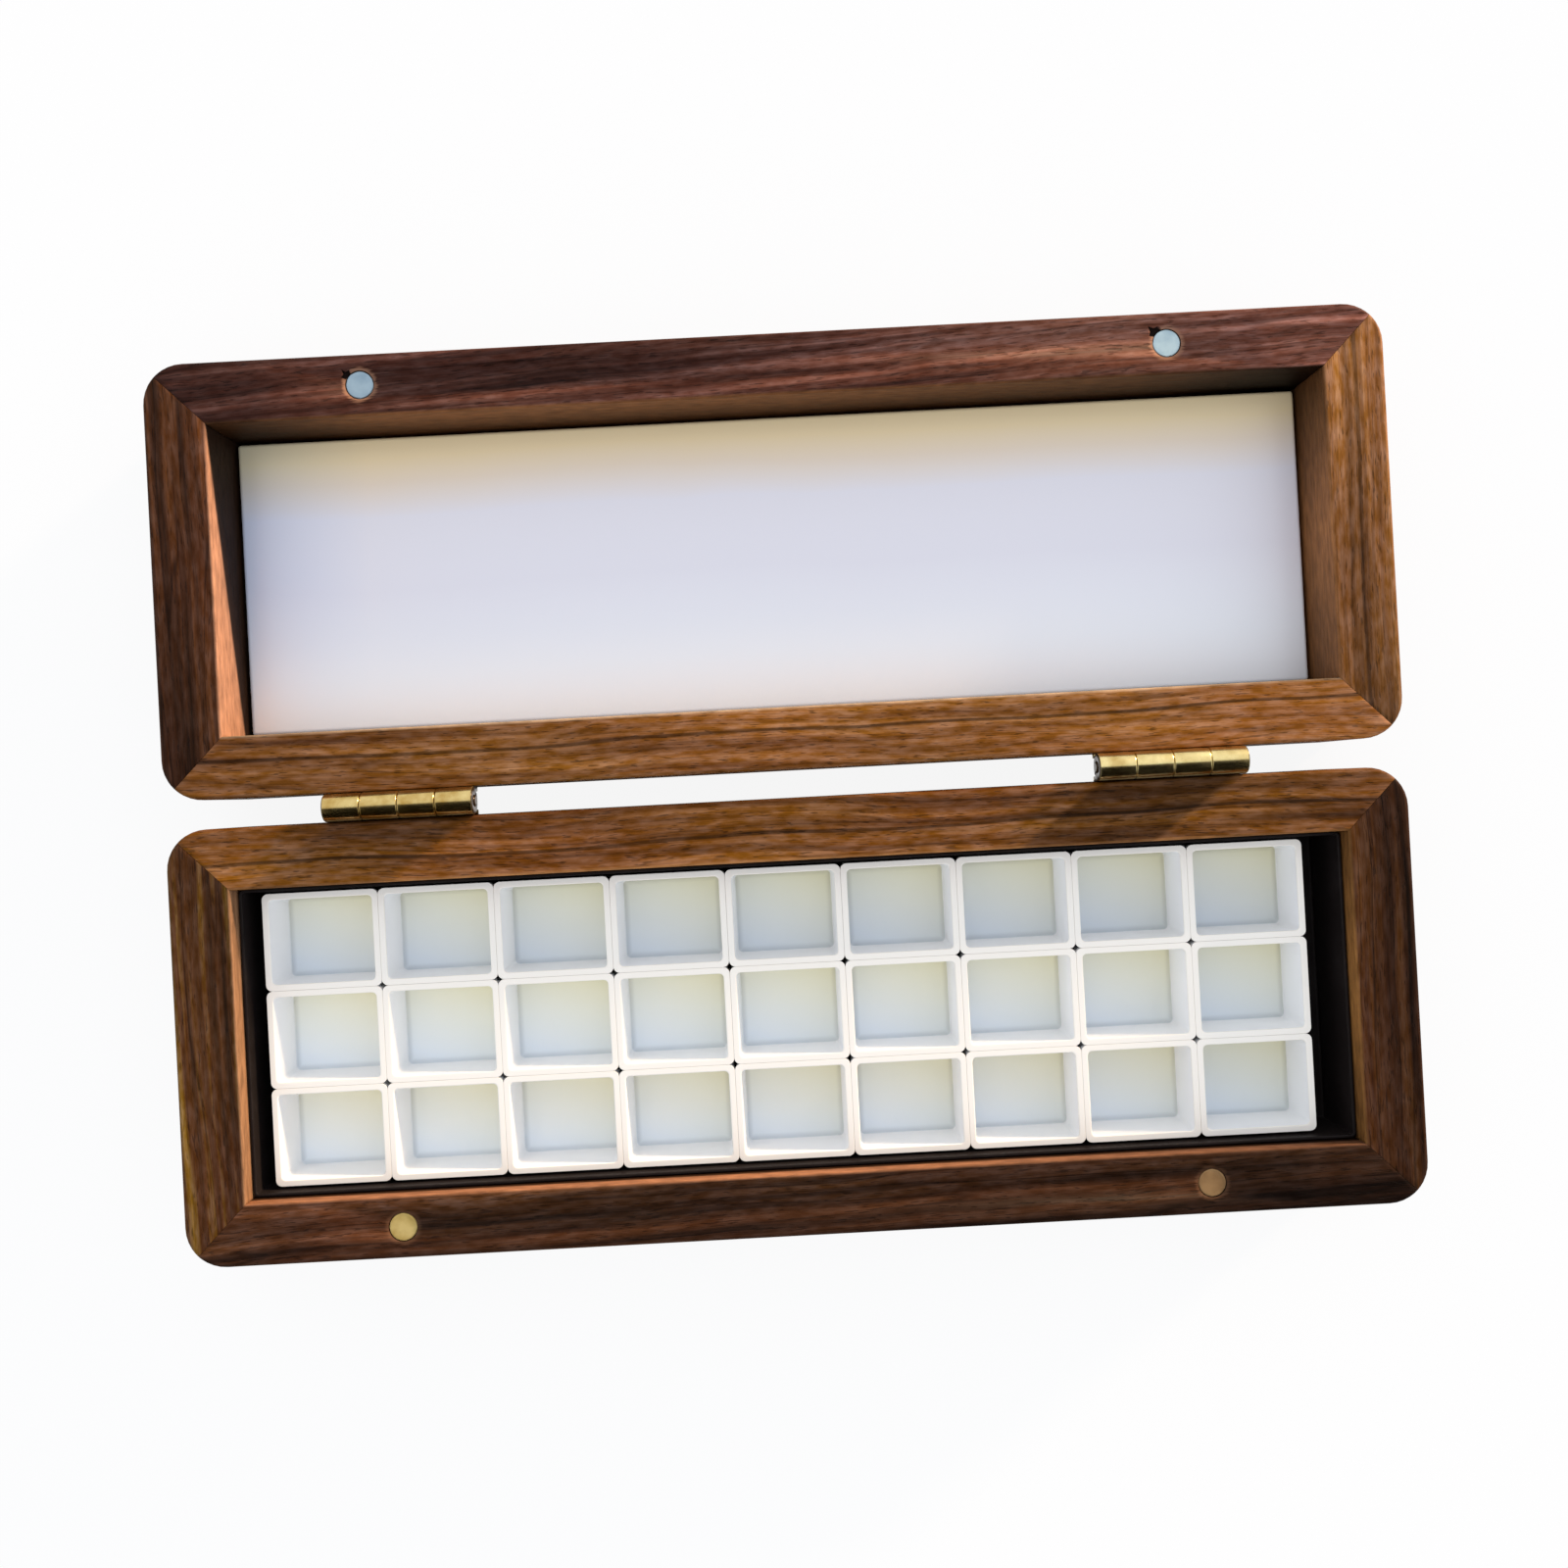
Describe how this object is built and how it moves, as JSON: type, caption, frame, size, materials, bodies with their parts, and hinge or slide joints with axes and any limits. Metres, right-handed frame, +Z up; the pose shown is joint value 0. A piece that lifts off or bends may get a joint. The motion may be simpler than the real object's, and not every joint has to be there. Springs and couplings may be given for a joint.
{
  "type": "watercolour palette box",
  "caption": "Hinged wooden palette box opened flat: mitred trays on brass butt hinges, loose white half pans in the base and a white mixing plate in the lid.",
  "frame": {"origin": "on the table under the middle of the hinge line, with the box opened flat", "axes": "+X along the hinges to the right, +Y from the base towards the lid, +Z up"},
  "size_m": [0.2, 0.1454, 0.0218],
  "materials": {
    "walnut": "oiled walnut",
    "walnut_panel": "oiled walnut panel",
    "black_steel": "satin black coating",
    "white_plate": "gloss",
    "pan_plastic": "semi-gloss moulded",
    "nickel": "bright nickel plate",
    "brass": "polished"
  },
  "bodies": {
    "base": {"base_rail_front": "walnut", "base_rail_back": "walnut", "base_rail_left": "walnut", "base_rail_right": "walnut", "base_bottom_panel": "walnut_panel", "base_magnet_left": "nickel", "base_magnet_right": "nickel", "base_hinge_screws": "brass", "pan_tray": "black_steel", "hinge_left_base_leaf": "brass", "hinge_left_pin": "brass", "hinge_right_base_leaf": "brass", "hinge_right_pin": "brass"},
    "lid": {"lid_rail_front": "walnut", "lid_rail_back": "walnut", "lid_rail_left": "walnut", "lid_rail_right": "walnut", "lid_top_panel": "walnut_panel", "lid_magnet_left": "nickel", "lid_magnet_right": "nickel", "lid_hinge_screws": "brass", "mixing_plate": "white_plate", "hinge_left_lid_leaf": "brass", "hinge_right_lid_leaf": "brass"},
    "half_pan_r1_c1": {"pan_r1_c1": "pan_plastic"},
    "half_pan_r1_c2": {"pan_r1_c2": "pan_plastic"},
    "half_pan_r1_c3": {"pan_r1_c3": "pan_plastic"},
    "half_pan_r1_c4": {"pan_r1_c4": "pan_plastic"},
    "half_pan_r1_c5": {"pan_r1_c5": "pan_plastic"},
    "half_pan_r1_c6": {"pan_r1_c6": "pan_plastic"},
    "half_pan_r1_c7": {"pan_r1_c7": "pan_plastic"},
    "half_pan_r1_c8": {"pan_r1_c8": "pan_plastic"},
    "half_pan_r1_c9": {"pan_r1_c9": "pan_plastic"},
    "half_pan_r2_c1": {"pan_r2_c1": "pan_plastic"},
    "half_pan_r2_c2": {"pan_r2_c2": "pan_plastic"},
    "half_pan_r2_c3": {"pan_r2_c3": "pan_plastic"},
    "half_pan_r2_c4": {"pan_r2_c4": "pan_plastic"},
    "half_pan_r2_c5": {"pan_r2_c5": "pan_plastic"},
    "half_pan_r2_c6": {"pan_r2_c6": "pan_plastic"},
    "half_pan_r2_c7": {"pan_r2_c7": "pan_plastic"},
    "half_pan_r2_c8": {"pan_r2_c8": "pan_plastic"},
    "half_pan_r2_c9": {"pan_r2_c9": "pan_plastic"},
    "half_pan_r3_c1": {"pan_r3_c1": "pan_plastic"},
    "half_pan_r3_c2": {"pan_r3_c2": "pan_plastic"},
    "half_pan_r3_c3": {"pan_r3_c3": "pan_plastic"},
    "half_pan_r3_c4": {"pan_r3_c4": "pan_plastic"},
    "half_pan_r3_c5": {"pan_r3_c5": "pan_plastic"},
    "half_pan_r3_c6": {"pan_r3_c6": "pan_plastic"},
    "half_pan_r3_c7": {"pan_r3_c7": "pan_plastic"},
    "half_pan_r3_c8": {"pan_r3_c8": "pan_plastic"},
    "half_pan_r3_c9": {"pan_r3_c9": "pan_plastic"}
  },
  "joints": [
    {"name": "lid_hinge", "type": "hinge", "parent": "base", "child": "lid", "pos_m": [0, 0, 0.0196], "axis": [-1, 0, 0], "range_deg": [-180, 0]},
    {"name": "pan_r1_c1_lift", "type": "slide", "parent": "base", "child": "half_pan_r1_c1", "axis": [0, 0, 1], "range_m": [0, 0.03]},
    {"name": "pan_r1_c2_lift", "type": "slide", "parent": "base", "child": "half_pan_r1_c2", "axis": [0, 0, 1], "range_m": [0, 0.03]},
    {"name": "pan_r1_c3_lift", "type": "slide", "parent": "base", "child": "half_pan_r1_c3", "axis": [0, 0, 1], "range_m": [0, 0.03]},
    {"name": "pan_r1_c4_lift", "type": "slide", "parent": "base", "child": "half_pan_r1_c4", "axis": [0, 0, 1], "range_m": [0, 0.03]},
    {"name": "pan_r1_c5_lift", "type": "slide", "parent": "base", "child": "half_pan_r1_c5", "axis": [0, 0, 1], "range_m": [0, 0.03]},
    {"name": "pan_r1_c6_lift", "type": "slide", "parent": "base", "child": "half_pan_r1_c6", "axis": [0, 0, 1], "range_m": [0, 0.03]},
    {"name": "pan_r1_c7_lift", "type": "slide", "parent": "base", "child": "half_pan_r1_c7", "axis": [0, 0, 1], "range_m": [0, 0.03]},
    {"name": "pan_r1_c8_lift", "type": "slide", "parent": "base", "child": "half_pan_r1_c8", "axis": [0, 0, 1], "range_m": [0, 0.03]},
    {"name": "pan_r1_c9_lift", "type": "slide", "parent": "base", "child": "half_pan_r1_c9", "axis": [0, 0, 1], "range_m": [0, 0.03]},
    {"name": "pan_r2_c1_lift", "type": "slide", "parent": "base", "child": "half_pan_r2_c1", "axis": [0, 0, 1], "range_m": [0, 0.03]},
    {"name": "pan_r2_c2_lift", "type": "slide", "parent": "base", "child": "half_pan_r2_c2", "axis": [0, 0, 1], "range_m": [0, 0.03]},
    {"name": "pan_r2_c3_lift", "type": "slide", "parent": "base", "child": "half_pan_r2_c3", "axis": [0, 0, 1], "range_m": [0, 0.03]},
    {"name": "pan_r2_c4_lift", "type": "slide", "parent": "base", "child": "half_pan_r2_c4", "axis": [0, 0, 1], "range_m": [0, 0.03]},
    {"name": "pan_r2_c5_lift", "type": "slide", "parent": "base", "child": "half_pan_r2_c5", "axis": [0, 0, 1], "range_m": [0, 0.03]},
    {"name": "pan_r2_c6_lift", "type": "slide", "parent": "base", "child": "half_pan_r2_c6", "axis": [0, 0, 1], "range_m": [0, 0.03]},
    {"name": "pan_r2_c7_lift", "type": "slide", "parent": "base", "child": "half_pan_r2_c7", "axis": [0, 0, 1], "range_m": [0, 0.03]},
    {"name": "pan_r2_c8_lift", "type": "slide", "parent": "base", "child": "half_pan_r2_c8", "axis": [0, 0, 1], "range_m": [0, 0.03]},
    {"name": "pan_r2_c9_lift", "type": "slide", "parent": "base", "child": "half_pan_r2_c9", "axis": [0, 0, 1], "range_m": [0, 0.03]},
    {"name": "pan_r3_c1_lift", "type": "slide", "parent": "base", "child": "half_pan_r3_c1", "axis": [0, 0, 1], "range_m": [0, 0.03]},
    {"name": "pan_r3_c2_lift", "type": "slide", "parent": "base", "child": "half_pan_r3_c2", "axis": [0, 0, 1], "range_m": [0, 0.03]},
    {"name": "pan_r3_c3_lift", "type": "slide", "parent": "base", "child": "half_pan_r3_c3", "axis": [0, 0, 1], "range_m": [0, 0.03]},
    {"name": "pan_r3_c4_lift", "type": "slide", "parent": "base", "child": "half_pan_r3_c4", "axis": [0, 0, 1], "range_m": [0, 0.03]},
    {"name": "pan_r3_c5_lift", "type": "slide", "parent": "base", "child": "half_pan_r3_c5", "axis": [0, 0, 1], "range_m": [0, 0.03]},
    {"name": "pan_r3_c6_lift", "type": "slide", "parent": "base", "child": "half_pan_r3_c6", "axis": [0, 0, 1], "range_m": [0, 0.03]},
    {"name": "pan_r3_c7_lift", "type": "slide", "parent": "base", "child": "half_pan_r3_c7", "axis": [0, 0, 1], "range_m": [0, 0.03]},
    {"name": "pan_r3_c8_lift", "type": "slide", "parent": "base", "child": "half_pan_r3_c8", "axis": [0, 0, 1], "range_m": [0, 0.03]},
    {"name": "pan_r3_c9_lift", "type": "slide", "parent": "base", "child": "half_pan_r3_c9", "axis": [0, 0, 1], "range_m": [0, 0.03]}
  ]
}
